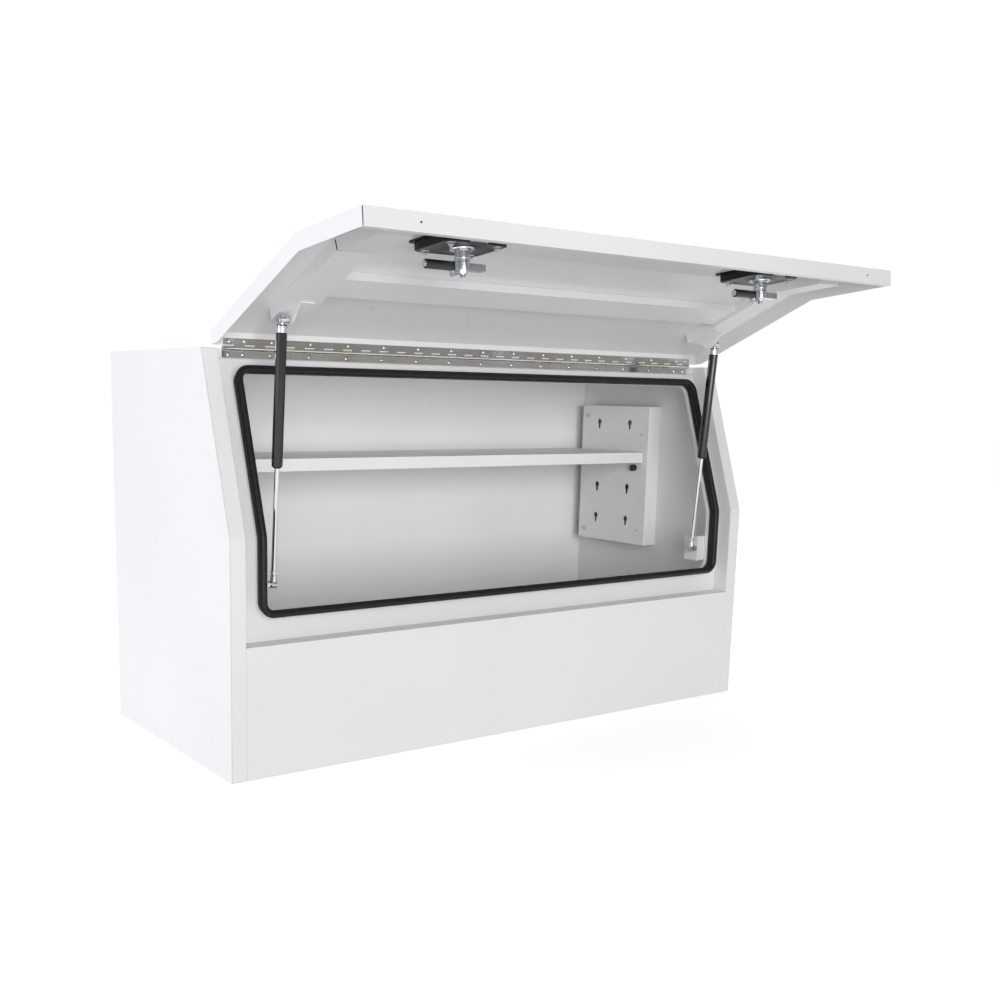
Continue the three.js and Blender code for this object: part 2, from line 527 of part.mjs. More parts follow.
// ---------------------------------------------------------------- latches
// local latch frame: x along the box, y is depth w behind the door's outer
// face, z along the door; the spindle is the local Y axis
const LW = 43;                                // depth of the roller arm's centre
const disc = (r0, r1, w0, w1, n = 24) => {
  const prof = r0 > 0 ? [[r0, w0], [r1, w0], [r1, w1], [r0, w1], [r0, w0]] : [[0, w0], [r1, w0], [r1, w1], [0, w1]];
  return orient(new THREE.LatheGeometry(prof.map(([r, y]) => new THREE.Vector2(r, y)), n));
};
const ringProfile = (prof, n = 24) => orient(new THREE.LatheGeometry(prof.map(([r, y]) => new THREE.Vector2(r, y)), n));
for (const [tag, x] of [['left', -LATCH_X], ['right', LATCH_X]]) {
  const place = (g) => onLower(g.clone().translate(x, 0, LATCH_S));
  // pressed dish with a flat bezel, open to the outside
  const bezel = extrude(roundRect(59, -49.5, 49.5, 10, false), 1.7, 4)
    .applyMatrix4(M4().makeBasis(new THREE.Vector3(1, 0, 0), new THREE.Vector3(0, 0, 1), new THREE.Vector3(0, -1, 0)))
    .translate(0, -GAP, 0);
  const dish = ringProfile([[6.6, 14.5], [43.5, 14.5], [43.5, -2.2], [45.3, -2.2], [45.3, 16], [6.6, 16], [6.6, 14.5]], 28);
  put(door, `latch_${tag}_pan`, place(join(cut(bezel, disc(0, 43.8, -6, 6, 28)), dish)), zinc());
  // rubber gasket clamped behind the skin
  put(door, `latch_${tag}_gasket`, place(cut(facing(roundRect(62, -45.5, 52, 8, false), SHEET + GAP, 4.2, 4), disc(0, 45.9, 0, 8, 28))), rubber());
  // bearing housing on the back of the dish
  put(door, `latch_${tag}_housing`, place(ringProfile([[6.6, 16.3], [17, 16.3], [17, 19], [11.5, 21], [11.5, 36], [6.6, 36], [6.6, 16.3]], 24)), zinc());
  // spindle: hub in the dish, shaft through the housing, nut behind the arm
  const hub = disc(0, 9, 4.5, 14, 16);
  const slotCut = box(-4.6, 4.6, 3, 11.2, -12, 12);
  const spindle = join(cut(hub, slotCut), disc(0, 6.2, 11.5, 36.5, 12), disc(0, 4, 36, 54.5, 8), disc(0, 7.2, 48.8, 53, 6));
  put(door, `latch_${tag}_spindle`, place(spindle), zinc());
  // roller arm: hub round the shaft, tail block, forked link and roller axle
  const arm = cut(join(
    disc(0, 11, LW - 6.2, LW + 5.5, 24),
    box(8, 38, LW - 5, LW + 5, -7, 7),
    box(-17, -6, LW - 5.5, LW + 5.5, -8, 8),
    box(-19, -15, LW - 7, LW + 14, -7.5, 7.5),
    rod([-18, LW, 0], [-70, LW, 0], 3, 12),
    rod([-67.5, LW, 0], [-70, LW, 0], 5, 12),
  ), disc(0, 4.5, 30, 60, 10), box(-22, -14, LW + 5.5, LW + 11, -4.2, 4.2));
  put(door, `latch_${tag}_arm`, place(arm), zinc());
  put(door, `latch_${tag}_roller`, place(cut(rod([-20, LW, 0], [-67, LW, 0], 7, 16), rod([-19, LW, 0], [-68, LW, 0], 3.5, 10))), gloss());
  // folding T handle: fork on the hub's cross pin, stem and grip
  const handle = cut(join(
    box(-4.2, 4.2, 5.6, 9.6, -2.5, 26),
    box(-29, 29, 4.2, 11.2, 20, 31),
    disc(0, 9.5, 4.2, 11.2, 16).translate(0, 0, 25.5),
  ), disc(0, 6.5, 2, 12.5, 14).translate(0, 0, 25.5));
  put(door, `latch_${tag}_handle`, place(handle), zinc());
  put(door, `latch_${tag}_lock`, place(cut(disc(0, 6, 3.8, 10.8, 14).translate(0, 0, 25.5), box(-0.7, 0.7, 2, 6, 22, 29))), chrome());
}

export default group;
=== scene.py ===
# Truck tool box: materials, fine sheet-metal and hardware detail, floor, lights and camera.
# Metres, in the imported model's frame: X along the box, the front faces -Y, Z up.
import bpy
import json
import math
from mathutils import Matrix, Vector


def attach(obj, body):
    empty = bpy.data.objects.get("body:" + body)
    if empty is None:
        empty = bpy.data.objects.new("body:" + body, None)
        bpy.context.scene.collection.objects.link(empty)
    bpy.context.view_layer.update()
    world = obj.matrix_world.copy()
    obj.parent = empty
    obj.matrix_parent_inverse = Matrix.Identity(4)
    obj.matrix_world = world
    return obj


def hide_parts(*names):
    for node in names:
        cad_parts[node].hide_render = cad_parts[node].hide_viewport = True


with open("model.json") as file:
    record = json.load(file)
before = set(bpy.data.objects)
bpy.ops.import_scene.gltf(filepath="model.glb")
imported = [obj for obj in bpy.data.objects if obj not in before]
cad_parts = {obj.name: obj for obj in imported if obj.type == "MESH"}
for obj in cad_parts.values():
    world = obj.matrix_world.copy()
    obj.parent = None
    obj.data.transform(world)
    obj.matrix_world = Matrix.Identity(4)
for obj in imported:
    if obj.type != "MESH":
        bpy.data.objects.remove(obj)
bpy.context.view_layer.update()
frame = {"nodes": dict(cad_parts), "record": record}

MM = 0.001
NODES = frame["nodes"]

# ------------------------------------------------------------------ dimensions (mm, as in the part)
LENGTH, DEPTH, HEIGHT, TOP_DEPTH, KNEE_Z = 1200.0, 500.0, 700.0, 402.0, 401.0
SHEET, GAP, LEDGE_Z = 1.5, 0.3, 223.0
YF, YB = -250.0, 250.0
YT = YB - TOP_DEPTH
SLOPE = math.atan2(YT - YF, HEIGHT - KNEE_Z)
SN, CS = math.sin(SLOPE), math.cos(SLOPE)
OPEN_X, OPEN_S0, OPEN_S1, CORNER_R = 536.0, -128.0, 283.0, 20.0
LIP_TOP, SEAL_R = 15.0, 6.3
HINGE_X, KNUCKLE_R, LEAF = 549.0, 4.25, 1.2
HEADER_Y = -121.5
PIN_Y = HEADER_Y - GAP - KNUCKLE_R
PIN_Z = HEIGHT - 0.6 - SHEET - GAP - LEAF + KNUCKLE_R
OPEN = math.radians(95.5)
DOOR_X, DOOR_DEPTH = 570.0, 27.0
DB = LEDGE_Z - KNEE_Z + 1.7
LATCH_X, LATCH_S, LW = 333.0, -72.0, 43.0
STRUT_X = 501.0


def bend(x, w, s):
    """A point w behind the cranked front and s along it from the knee."""
    if s <= 0:
        return (x, YF + w, KNEE_Z + (-w * math.tan(SLOPE / 2) if s == 0 else s))
    return (x, YF + s * SN + w * CS, KNEE_Z + s * CS - w * SN)


def swing(p):
    """A point of the shut door, where it is with the door open."""
    x, y, z = p
    y, z = y - PIN_Y, z - PIN_Z
    return (x, PIN_Y + y * math.cos(OPEN) + z * math.sin(OPEN), PIN_Z - y * math.sin(OPEN) + z * math.cos(OPEN))


# ------------------------------------------------------------------ mesh helpers
def piece(name, verts, faces, mat, body, smooth=40, bevel=None):
    me = bpy.data.meshes.new(name)
    me.from_pydata([(x * MM, y * MM, z * MM) for x, y, z in verts], [], faces)
    me.validate()
    me.update()
    o = bpy.data.objects.new(name, me)
    bpy.context.scene.collection.objects.link(o)
    me.materials.append(mat)
    me.shade_smooth()
    me.set_sharp_from_angle(angle=math.radians(smooth))
    if bevel:
        add_bevel(o, bevel)
    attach(o, body)
    return o


def add_bevel(o, width, segments=2, angle=34):
    m = o.modifiers.new("Edges", "BEVEL")
    m.width = width * MM
    m.segments = segments
    m.limit_method = "ANGLE"
    m.angle_limit = math.radians(angle)
    m.use_clamp_overlap = True
    m.harden_normals = True
    return m


class Build:
    """Collects closed solids into one mesh."""

    def __init__(self, place=None):
        self.v, self.f, self.place = [], [], place

    def add(self, verts, faces, m=None):
        n = len(self.v)
        for p in verts:
            if m is not None:
                p = tuple(m @ Vector(p))
            if self.place:
                p = self.place(p)
            self.v.append(p)
        self.f += [tuple(i + n for i in f) for f in faces]
        return self

    def prism(self, ring, axis0, axis1, m=None):
        """ring: points (u, v); carried along the third axis from axis0 to axis1; result (u, v, t)."""
        n = len(ring)
        v = [(a, b, axis0) for a, b in ring] + [(a, b, axis1) for a, b in ring]
        f = [tuple(reversed(range(n))), tuple(range(n, 2 * n))]
        f += [(i, (i + 1) % n, n + (i + 1) % n, n + i) for i in range(n)]
        return self.add(v, f, m)

    def lathe(self, prof, n=24, m=None):
        """prof: (radius, height) from one end of the axis to the other; radius 0 closes it."""
        v, f, rows = [], [], []
        for r, h in prof:
            if r < 1e-6:
                rows.append([len(v)])
                v.append((0, 0, h))
            else:
                rows.append(list(range(len(v), len(v) + n)))
                v += [(r * math.cos(2 * math.pi * i / n), r * math.sin(2 * math.pi * i / n), h) for i in range(n)]
        for a, b in zip(rows, rows[1:]):
            for i in range(n):
                j = (i + 1) % n
                if len(a) == 1 and len(b) == 1:
                    continue
                if len(a) == 1:
                    f.append((a[0], b[j], b[i]))
                elif len(b) == 1:
                    f.append((a[i], a[j], b[0]))
                else:
                    f.append((a[i], a[j], b[j], b[i]))
        return self.add(v, f, m)

    def box(self, x0, x1, y0, y1, z0, z1, m=None):
        v = [(x, y, z) for z in (z0, z1) for y in (y0, y1) for x in (x0, x1)]
        f = [(0, 2, 3, 1), (4, 5, 7, 6), (0, 1, 5, 4), (2, 6, 7, 3), (0, 4, 6, 2), (1, 3, 7, 5)]
        return self.add(v, f, m)


def basis(o, z, x=None):
    """A frame at o whose Z axis points along z."""
    z = Vector(z).normalized()
    x = Vector(x) if x is not None else (Vector((1, 0, 0)) if abs(z.x) < 0.9 else Vector((0, 1, 0)))
    x = (x - z * x.dot(z)).normalized()
    y = z.cross(x)
    m = Matrix((x, y, z)).transposed().to_4x4()
    m.translation = Vector(o)
    return m


# ------------------------------------------------------------------ materials
def material(name, colour, rough, metal=0.0, coat=0.0, coat_rough=0.05, ior=1.5, spec=0.5):
    m = bpy.data.materials.new(name)
    m.use_nodes = True
    b = m.node_tree.nodes["Principled BSDF"]
    b.inputs["Base Color"].default_value = (*colour, 1)
    b.inputs["Roughness"].default_value = rough
    b.inputs["Metallic"].default_value = metal
    b.inputs["Coat Weight"].default_value = coat
    b.inputs["Coat Roughness"].default_value = coat_rough
    b.inputs["IOR"].default_value = ior
    b.inputs["Specular IOR Level"].default_value = spec
    return m, m.node_tree, b


def coords(t, scale=(1, 1, 1)):
    c = t.nodes.new("ShaderNodeTexCoord")
    mp = t.nodes.new("ShaderNodeMapping")
    mp.inputs["Scale"].default_value = scale
    t.links.new(c.outputs["Object"], mp.inputs["Vector"])
    return mp.outputs["Vector"]


def noise(t, vec, scale, detail=3.0, rough=0.5):
    n = t.nodes.new("ShaderNodeTexNoise")
    n.inputs["Scale"].default_value = scale
    n.inputs["Detail"].default_value = detail
    n.inputs["Roughness"].default_value = rough
    t.links.new(vec, n.inputs["Vector"])
    return n.outputs["Fac"]


def ramp(t, fac, stops):
    r = t.nodes.new("ShaderNodeValToRGB")
    e = r.color_ramp.elements
    e[0].position, e[0].color = stops[0][0], (*stops[0][1], 1)
    e[1].position, e[1].color = stops[-1][0], (*stops[-1][1], 1)
    for p, c in stops[1:-1]:
        k = e.new(p)
        k.color = (*c, 1)
    t.links.new(fac, r.inputs["Fac"])
    return r.outputs["Color"]


def spread(t, fac, lo, hi, a=0.3, b=0.7):
    r = t.nodes.new("ShaderNodeMapRange")
    r.inputs["From Min"].default_value = a
    r.inputs["From Max"].default_value = b
    r.inputs["To Min"].default_value = lo
    r.inputs["To Max"].default_value = hi
    t.links.new(fac, r.inputs["Value"])
    return r.outputs["Result"]


def bump(t, b, height, strength, distance):
    n = t.nodes.new("ShaderNodeBump")
    n.inputs["Strength"].default_value = strength
    n.inputs["Distance"].default_value = distance
    t.links.new(height, n.inputs["Height"])
    t.links.new(n.outputs["Normal"], b.inputs["Normal"])
    return n


def add(t, a, b, wa=1.0, wb=1.0):
    m1 = t.nodes.new("ShaderNodeMath"); m1.operation = "MULTIPLY"; m1.inputs[1].default_value = wa
    m2 = t.nodes.new("ShaderNodeMath"); m2.operation = "MULTIPLY_ADD"; m2.inputs[1].default_value = wb
    t.links.new(a, m1.inputs[0])
    t.links.new(b, m2.inputs[0])
    t.links.new(m1.outputs[0], m2.inputs[2])
    return m2.outputs[0]


def powder(name, colour, orange=0.6, rough=0.34, tint=0.04):
    """Sprayed powder coat: orange peel, a fine grit, slow drifts of gloss and tone."""
    m, t, b = material(name, colour, rough, spec=0.5)
    v = coords(t)
    slow = add(t, noise(t, v, 2.2, 2), noise(t, v, 620, 2, 0.5), 0.5, 0.5)
    c = colour
    lo = tuple(k * (1 - tint) for k in c)
    hi = tuple(min(1.0, k * (1 + tint)) for k in c)
    t.links.new(ramp(t, slow, [(0.38, lo), (0.62, hi)]), b.inputs["Base Color"])
    t.links.new(spread(t, noise(t, v, 55, 4, 0.6), rough - 0.07, rough + 0.1), b.inputs["Roughness"])
    peel = noise(t, v, 380, 2, 0.45)
    grit = noise(t, v, 1300, 2, 0.6)
    bump(t, b, add(t, peel, grit, 1.0, 0.25), orange, 0.0004)
    return m


def rubber(name, colour=(0.007, 0.007, 0.0078), rough=0.42):
    m, t, b = material(name, colour, rough, spec=0.22)
    v = coords(t)
    n = noise(t, v, 160, 5, 0.65)
    t.links.new(ramp(t, n, [(0.3, colour), (0.72, tuple(k * 1.9 for k in colour))]), b.inputs["Base Color"])
    t.links.new(spread(t, noise(t, v, 24, 3), rough - 0.12, rough + 0.12), b.inputs["Roughness"])
    bump(t, b, n, 0.22, 0.0004)
    return m


def metal(name, colour, rough, vary=0.08, stretch=(1, 1, 1), scale=120, height=0.08, warm=None, coat=0.0):
    m, t, b = material(name, colour, rough, metal=1.0, coat=coat)
    v = coords(t, stretch)
    n = noise(t, v, scale, 4, 0.6)
    w = warm or tuple(k * 0.9 for k in colour)
    t.links.new(ramp(t, noise(t, coords(t), 14, 3), [(0.32, w), (0.68, colour)]), b.inputs["Base Color"])
    t.links.new(spread(t, n, max(0.03, rough - vary), rough + vary), b.inputs["Roughness"])
    bump(t, b, n, height, 0.0003)
    return m


def gloss(name, colour, rough, coat=0.6):
    m, t, b = material(name, colour, rough, coat=coat, coat_rough=0.08)
    v = coords(t)
    t.links.new(spread(t, noise(t, v, 90, 4, 0.6), rough - 0.05, rough + 0.08), b.inputs["Roughness"])
    t.links.new(ramp(t, noise(t, v, 30, 3), [(0.3, colour), (0.75, tuple(k * 1.5 for k in colour))]), b.inputs["Base Color"])
    bump(t, b, noise(t, v, 700, 2), 0.06, 0.0003)
    return m


WHITE = powder("powder_white", (0.80, 0.805, 0.815))
INNER = powder("powder_white_inner", (0.76, 0.765, 0.765), orange=0.35, rough=0.42, tint=0.02)
SEAL = rubber("seal_rubber_black")
GASKET = rubber("gasket_rubber_black", (0.006, 0.006, 0.0065), 0.4)
STEEL = metal("stainless_polished", (0.70, 0.69, 0.67), 0.14, 0.04, (0.25, 8, 8), 60, 0.04, warm=(0.60, 0.565, 0.52))
ZINC = metal("zinc_plated", (0.62, 0.64, 0.67), 0.27, 0.08, (1, 1, 1), 90, 0.05, warm=(0.54, 0.56, 0.59))
CAST = metal("zinc_diecast", (0.64, 0.66, 0.69), 0.24, 0.07, (1, 1, 1), 80, 0.05, warm=(0.55, 0.575, 0.61))
CHROME = metal("chrome_rod", (0.60, 0.61, 0.62), 0.1, 0.04, (1, 1, 6), 90, 0.03)
LOCKM = metal("lock_chrome", (0.82, 0.82, 0.83), 0.16, 0.05, (1, 1, 1), 200, 0.06)
STRUT = gloss("strut_black", (0.003, 0.003, 0.0033), 0.13, 0.0)
PLASTIC = gloss("plastic_black", (0.006, 0.006, 0.0066), 0.3, 0.1)
BLACKHW = metal("black_hardware", (0.02, 0.02, 0.022), 0.4, 0.1, (1, 1, 1), 200, 0.1)
# painted shade: near-black gloss on thin pieces that stand for the shade inside holes, slits and open seams
SHADE_FILL = gloss("hole_shadow", (0.02, 0.02, 0.022), 0.7, 0.0)

BY_SLOT = {"white_powder_coat": WHITE, "white_inner": INNER, "seal_rubber": SEAL, "latch_rubber": GASKET, "stainless": STEEL,
           "zinc_plate": ZINC, "latch_zinc": CAST, "strut_black": STRUT, "chrome_rod": CHROME, "lock_chrome": LOCKM,
           "black_plastic": PLASTIC, "black_hardware": BLACKHW}

# which finish each CAD node has in the record
FINISH = {}
for slot_ in frame["record"].get("material_slots", []):
    for node_ in slot_.get("nodes", []):
        FINISH[node_] = slot_["name"]


def finish_of(name):
    if name in FINISH:
        return BY_SLOT[FINISH[name]]
    for key, mat in (("seal", SEAL), ("gasket", GASKET), ("hinge", STEEL), ("roller", PLASTIC), ("knob", PLASTIC), ("lock", LOCKM),
                     ("strut_tube_end", ZINC), ("strut_rod_end", ZINC), ("strut_rod", CHROME), ("strut_tube", STRUT), ("strut_stud", ZINC),
                     ("shelf_stud", BLACKHW), ("latch", CAST)):
        if key in name:
            return mat
    return INNER if name in ("shelf", "shelf_bracket_left", "shelf_bracket_right") else WHITE


SHEETS = ("panel", "jamb", "opening_frame", "door_shell", "door_brace", "door_mid_rail", "shelf", "strut_bracket")
for name, o in NODES.items():
    mat = finish_of(name)
    if not o.material_slots:
        o.data.materials.append(mat)
    for s in o.material_slots:
        s.material = mat
    o.data.shade_smooth()
    o.data.set_sharp_from_angle(angle=math.radians(32))
    if name.startswith(("shelf_stud", "shelf_knob")):
        add_bevel(o, 0.35)
    elif name.startswith(SHEETS):
        add_bevel(o, 0.55, 2, 40)
    elif "latch" in name:
        add_bevel(o, 0.5, 2, 40)
    elif name.startswith(("strut", "hinge_pin")):
        add_bevel(o, 0.4, 2, 40)

# ------------------------------------------------------------------ door seal
def corner_path(x, s0, s1, r, n):
    out = []

    def arc(cx, cs, a0):
        for i in range(n + 1):
            a = a0 + math.pi / 2 * i / n
            out.append((cx + r * math.cos(a), cs + r * math.sin(a), math.cos(a), math.sin(a)))
    arc(x - r, s0 + r, -math.pi / 2)
    for i in range(1, 8):
        out.append((x, s0 + r + (0 - s0 - r) * i / 8, 1, 0))
    for i in range(-2, 3):
        out.append((x, i * 2.2, 1, 0))
    for i in range(1, 12):
        out.append((x, 6 + (s1 - r - 6) * i / 12, 1, 0))
    arc(x - r, s1 - r, 0)
    arc(-x + r, s1 - r, math.pi / 2)
    for i in range(11, 0, -1):
        out.append((-x, 6 + (s1 - r - 6) * i / 12, -1, 0))
    for i in range(2, -3, -1):
        out.append((-x, i * 2.2, -1, 0))
    for i in range(7, 0, -1):
        out.append((-x, s0 + r + (0 - s0 - r) * i / 8, -1, 0))
    arc(-x + r, s0 + r, math.pi)
    return out


def knee(x, w, s, r=9.0):
    """bend() with its corner eased over r to either side of the knee."""
    if abs(s) >= r:
        return bend(x, w, s)
    a, b = Vector(bend(x, w, -r)), Vector(bend(x, w, r))
    c = Vector(bend(x, w, 0))
    t = (s + r) / (2 * r)
    p = a * (1 - t) ** 2 + c * 2 * t * (1 - t) + b * t * t
    return tuple(p)


def make_seal():
    c = 2 + SEAL_R
    a0 = math.acos((LIP_TOP - 2.4 - c) / SEAL_R)
    prof = []
    n = 22
    for i in range(n + 1):
        a = a0 + (2 * math.pi - 2 * a0) * i / n
        squish = 1 - 0.06 * math.cos(2 * a)
        prof.append((SEAL_R * math.sin(a) * squish, c + SEAL_R * math.cos(a)))
    g, slot = 3.4, SHEET / 2 + GAP
    # gripping channel with its small moulded ribs
    left = [(-g - 0.5, LIP_TOP - 1.6), (-g, LIP_TOP - 0.6), (-g, LIP_TOP + 2.2), (-g - 0.55, LIP_TOP + 2.8), (-g, LIP_TOP + 3.5),
            (-g, LIP_TOP + 8.2), (-g + 0.7, LIP_TOP + 9)]
    inner = [(-slot, LIP_TOP + 9), (-slot, LIP_TOP - GAP), (slot, LIP_TOP - GAP), (slot, LIP_TOP + 9)]
    prof += left + inner + [(-a, b) for a, b in reversed(left)]
    path = corner_path(OPEN_X, OPEN_S0, OPEN_S1, CORNER_R, 12)
    v, f = [], []
    k = len(prof)
    for x, s, nx, ns in path:
        for o, w in prof:
            v.append(knee(x + nx * o, w, s + ns * o))
    m = len(path)
    for i in range(m):
        j = (i + 1) % m
        for a in range(k):
            b = (a + 1) % k
            f.append((i * k + a, j * k + a, j * k + b, i * k + b))
    o = piece("door_seal_moulded", v, f, SEAL, "box_body", 50)
    import bmesh
    bm = bmesh.new()
    bm.from_mesh(o.data)
    bmesh.ops.recalc_face_normals(bm, faces=bm.faces)
    bm.to_mesh(o.data)
    bm.free()
    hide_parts("opening_seal")
    # butt joint of the seal: a thin raised sleeve on the lower run
    b = Build()
    sx = -500.0
    ring = []
    for i in range(25):
        a = a0 + 0.12 + (2 * math.pi - 2 * a0 - 0.24) * i / 24
        ring.append(((SEAL_R + 0.22) * math.sin(a) * (1 - 0.06 * math.cos(2 * a)), c + (SEAL_R + 0.22) * math.cos(a)))
    verts, faces = [], []
    for t in (-0.9, 0.9):
        for rr in (0.0, -0.5):
            for o_, w in ring:
                verts.append(bend(sx + t, w + rr * (w - c) / SEAL_R, OPEN_S0 - o_ * (1 + rr / SEAL_R)))
    q = len(ring)
    for i in range(q - 1):
        faces += [(i, i + 1, 2 * q + i + 1, 2 * q + i), (q + i, 3 * q + i, 3 * q + i + 1, q + i + 1),
                  (i, q + i, q + i + 1, i + 1), (2 * q + i, 2 * q + i + 1, 3 * q + i + 1, 3 * q + i)]
    faces += [(0, 2 * q, 3 * q, q), (q - 1, 2 * q - 1, 4 * q - 1, 3 * q - 1)]
    piece("door_seal_joint", verts, faces, GASKET, "box_body", 40)


make_seal()

# ------------------------------------------------------------------ piano hinge: 58 rolled knuckles and two riveted leaves
KN = 58
PITCH = 2 * HINGE_X / KN


def hinge_leaf(turn, first):
    """turn 0: the fixed leaf, hanging down behind the pin; 1: the door leaf, forward under the pin when shut."""
    R, T = KNUCKLE_R, LEAF

    def put(p):
        # p = (x, u, v): u towards the front of the fixed leaf's face (-Y), v up, with the pin at 0, 0
        x, y, z = p
        if turn:
            y, z = z, -y                      # -90 degrees about X
            return swing((x, PIN_Y + y, PIN_Z + z))
        return (x, PIN_Y + y, PIN_Z + z)
    b = Build(put)
    reach = -(PIN_Z - 685.4) if not turn else -15.6
    # strip
    b.box(-HINGE_X, HINGE_X, R - T, R, reach, -R - 0.75)
    # knuckles
    end = math.pi * 2 - math.acos((R - T) / R) - 0.12
    n = 20
    for i in range(first, KN, 2):
        x0, x1 = -HINGE_X + i * PITCH + 0.12, -HINGE_X + (i + 1) * PITCH - 0.12
        outer = [(R, -R - 0.8), (R, -1.2)] + [(R * math.cos(end * k / n), R * math.sin(end * k / n)) for k in range(0, n + 1)]
        inner = [(R - T, -R - 0.8), (R - T, -1.2)] + [((R - T) * math.cos(end * k / n), (R - T) * math.sin(end * k / n)) for k in range(0, n + 1)]
        ring = outer + inner[::-1]
        v, f = [], []
        for x in (x0, x1):
            v += [(x, a, c) for a, c in ring]
        m = len(ring)
        f += [(a, (a + 1) % m, m + (a + 1) % m, m + a) for a in range(m)]
        q = len(outer)
        for e, flip in ((0, 0), (m, 1)):
            for a in range(q - 1):
                quad = (e + a, e + a + 1, e + m - 2 - a, e + m - 1 - a)
                f.append(quad if flip else quad[::-1])
        b.add(v, f)
    return b


fixed = hinge_leaf(0, 0)
o = piece("hinge_body_leaf_rolled", fixed.v, fixed.f, STEEL, "box_body", 30)
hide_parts("hinge_body_leaf")
moving = hinge_leaf(1, 1)
o = piece("hinge_door_leaf_rolled", moving.v, moving.f, STEEL, "door", 30)
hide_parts("hinge_door_leaf")

# rivets: domed heads through both leaves, closer together at the ends
RIVETS = [-538, -511]
x = -460.0
while x < 500:
    RIVETS.append(x)
    x += 74.6
RIVETS += [511, 538]
DOME = [(0, 2.0), (1.4, 1.85), (2.6, 1.25), (3.3, 0.45), (3.45, 0), (3.3, -0.35), (0, -0.35)]
MANDREL = [(0, 2.35), (0.75, 2.3), (0.85, 1.7), (0, 1.6)]
rv = Build()
for x in RIVETS:
    m = basis((x, PIN_Y + KNUCKLE_R - LEAF + 0.05, 690.0), (0, -1, 0))
    rv.lathe([(r, h) for r, h in DOME], 18, m)
    rv.lathe(MANDREL, 10, m)
piece("hinge_rivets_body", rv.v, [f[::-1] for f in rv.f], STEEL, "box_body", 50)
rv = Build(swing)
for x in RIVETS:
    m = basis((x, PIN_Y - 10.6, PIN_Z - KNUCKLE_R + 0.05), (0, 0, -1))
    rv.lathe([(r * 0.92, h * 0.9) for r, h in DOME], 18, m)
piece("hinge_rivets_door", rv.v, [f[::-1] for f in rv.f], STEEL, "door", 50)

# ------------------------------------------------------------------ small holes in the door's folded edge, drawn as discs of painted shade
def dark_holes(name, spots, body, r=2.1):
    """Shallow dark discs of painted shade standing for the inside of each hole, with a thin burred rim: (centre,
    outward direction).
    """
    b = Build()
    c = Build()
    for p, d in spots:
        m = basis(p, d)
        b.lathe([(0, 0.06), (r, 0.06), (r, -0.2), (0, -0.2)], 20, m)
        c.lathe([(r, 0.05), (r + 0.22, 0.14), (r + 0.5, 0.02), (r + 0.4, -0.1), (r, -0.1)], 20, m)
    piece(name, b.v, [f[::-1] for f in b.f], SHADE_FILL, body, 40)
    piece(name + "_rims", c.v, [f[::-1] for f in c.f], WHITE, body, 60)


# painted shade: the drain holes are dark discs laid on the folded edge, not real openings
lip = []
for x in (-478.0, 499.0):
    p = swing((x, YF + DOOR_DEPTH / 2, KNEE_Z + DB))
    q = swing((x, YF + DOOR_DEPTH / 2, KNEE_Z + DB - 10))
    lip.append((p, Vector(q) - Vector(p)))
dark_holes("door_drain_holes", lip, "door", 1.7)
# painted shade: a thin dark box standing for the shade in the open seam where the folded lower edge meets the folded
# left end
b = Build(swing)
b.box(-DOOR_X - 0.04, -DOOR_X + 1.0, YF + 1.5, YF + DOOR_DEPTH - 0.5, KNEE_Z + DB - 0.04, KNEE_Z + DB + 1.0)
piece("door_corner_seam_shade", b.v, b.f, SHADE_FILL, "door", 40)

# ------------------------------------------------------------------ latch hardware, in each latch's own frame
def latch_place(x):
    def f(p):
        # local x along the box, y depth behind the door's face, z along the door
        return swing((p[0] + x, YF + p[1], KNEE_Z + LATCH_S + p[2]))
    return f


